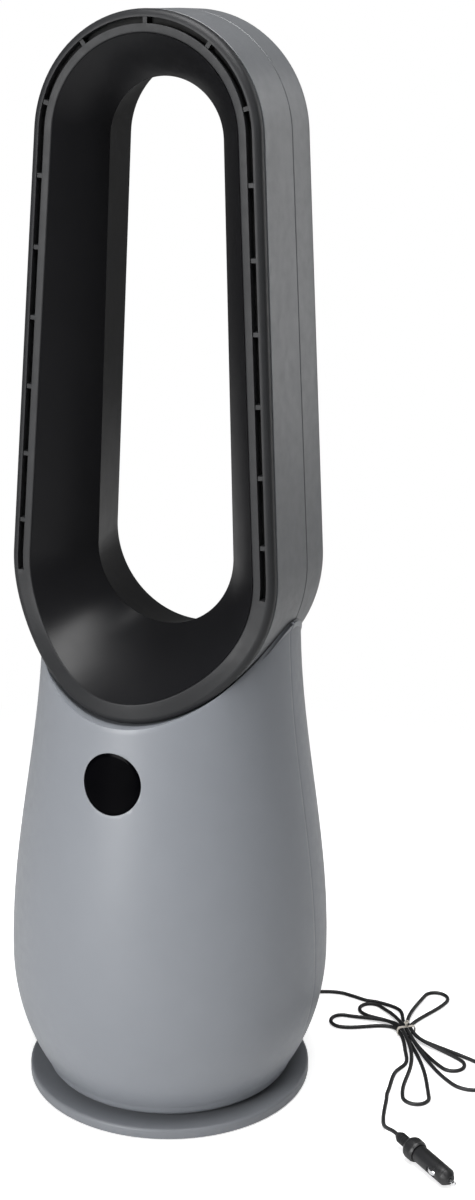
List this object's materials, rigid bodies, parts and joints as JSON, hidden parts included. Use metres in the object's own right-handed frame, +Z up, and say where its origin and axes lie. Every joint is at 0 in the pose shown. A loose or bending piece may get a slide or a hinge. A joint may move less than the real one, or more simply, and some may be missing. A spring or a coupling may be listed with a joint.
{
  "type": "bladeless tower fan",
  "caption": "Tower fan with an open oval air ring, slotted rim, round-bellied swinging body, display window, base plate and a tied 12 V plug lead.",
  "frame": {"origin": "middle of the round base plate, on the floor", "axes": "+Z up the height, -Y the way the ring blows and the display faces, +X to the fan's left as it faces the viewer's right"},
  "size_m": [0.4736, 0.3955, 1.001],
  "materials": {
    "rim_black": "satin black moulding",
    "casing_grey": "satin grey moulding",
    "seal_rubber": "matt",
    "funnel_black": "semi-gloss black",
    "body_grey": "satin blue-grey moulding",
    "grille_grey": "satin",
    "display_gloss": "high gloss",
    "board_green": "solder mask",
    "inner_plastic": "matt",
    "motor_steel": "plain",
    "motor_can": "cast",
    "base_grey": "satin grey moulding",
    "plate_steel": "plain plate",
    "post_steel": "zinc plated",
    "brass": "plain",
    "cord_black": "smooth flexible sheath",
    "plug_black": "satin black",
    "contact_chrome": "plated",
    "tie_pale": "pale twist tie"
  },
  "bodies": {
    "base": {"base_cover": "base_grey", "base_weight": "plate_steel", "base_foot_1": "seal_rubber", "base_foot_2": "seal_rubber", "base_foot_3": "seal_rubber", "base_foot_4": "seal_rubber", "pivot_post": "post_steel", "post_nut": "brass", "turntable_bearing": "inner_plastic", "swing_gear": "inner_plastic", "cord_grommet": "cord_black", "cord_lead": "cord_black", "cord_hank": "cord_black", "cord_tail": "cord_black", "hank_tie": "tie_pale", "plug_boot": "cord_black", "plug_grip": "plug_black", "plug_barrel": "plug_black", "plug_nose_cap": "plug_black", "plug_fuse": "brass"},
    "upper": {"air_outlet_rim": "rim_black", "ring_front_casing": "casing_grey", "ring_rear_casing": "casing_grey", "ring_seam_seal": "seal_rubber", "ring_funnel": "funnel_black", "ring_rear_band": "funnel_black", "body_front_shell": "body_grey", "body_rear_shell": "body_grey", "intake_grille": "grille_grey", "display_window": "display_gloss", "display_board": "board_green", "body_floor_pan": "inner_plastic", "pan_screw_1": "post_steel", "pan_screw_2": "post_steel", "pan_screw_3": "post_steel", "pan_screw_4": "post_steel", "swing_motor": "motor_steel", "blower_shelf": "inner_plastic", "blower_housing": "inner_plastic", "blower_isolator_1": "seal_rubber", "blower_isolator_2": "seal_rubber", "blower_isolator_3": "seal_rubber", "guide_vanes": "inner_plastic", "blower_motor": "motor_can", "shaft_bearing_lower": "post_steel", "shaft_bearing_upper": "post_steel", "ring_neck": "inner_plastic", "flow_splitter": "inner_plastic", "duct_seal": "seal_rubber", "control_board": "board_green"},
    "impeller": {"impeller": "inner_plastic", "impeller_shaft": "post_steel"},
    "pinion": {"swing_pinion": "brass"},
    "plug_pin": {"plug_pin": "contact_chrome"},
    "contact_left": {"plug_contact_left": "contact_chrome"},
    "contact_right": {"plug_contact_right": "contact_chrome"}
  },
  "joints": [
    {"name": "swing", "type": "hinge", "parent": "base", "child": "upper", "pos_m": [0, 0, 0.03], "axis": [0, 0, 1], "range_deg": [-40, 40]},
    {"name": "pinion_turn", "type": "hinge", "parent": "upper", "child": "pinion", "pos_m": [0, 0.048, 0.025], "axis": [0, 0, 1], "range_deg": [-120, 120]},
    {"name": "impeller_spin", "type": "hinge", "parent": "upper", "child": "impeller", "pos_m": [0, 0, 0.15], "axis": [0, 0, 1], "continuous": true},
    {"name": "pin_press", "type": "slide", "parent": "base", "child": "plug_pin", "axis": [-0.8181, 0.5729, 0.0499], "range_m": [0, 0.003], "stiffness_N_per_m": 2000},
    {"name": "contact_left_press", "type": "slide", "parent": "base", "child": "contact_left", "axis": [-0.5736, -0.8192, 0], "range_m": [0, 0.0008], "stiffness_N_per_m": 3000},
    {"name": "contact_right_press", "type": "slide", "parent": "base", "child": "contact_right", "axis": [0.5736, 0.8192, 0], "range_m": [0, 0.0008], "stiffness_N_per_m": 3000}
  ],
  "couplings": [
    {"joint": "pinion_turn", "follows": "swing", "ratio": 3}
  ]
}
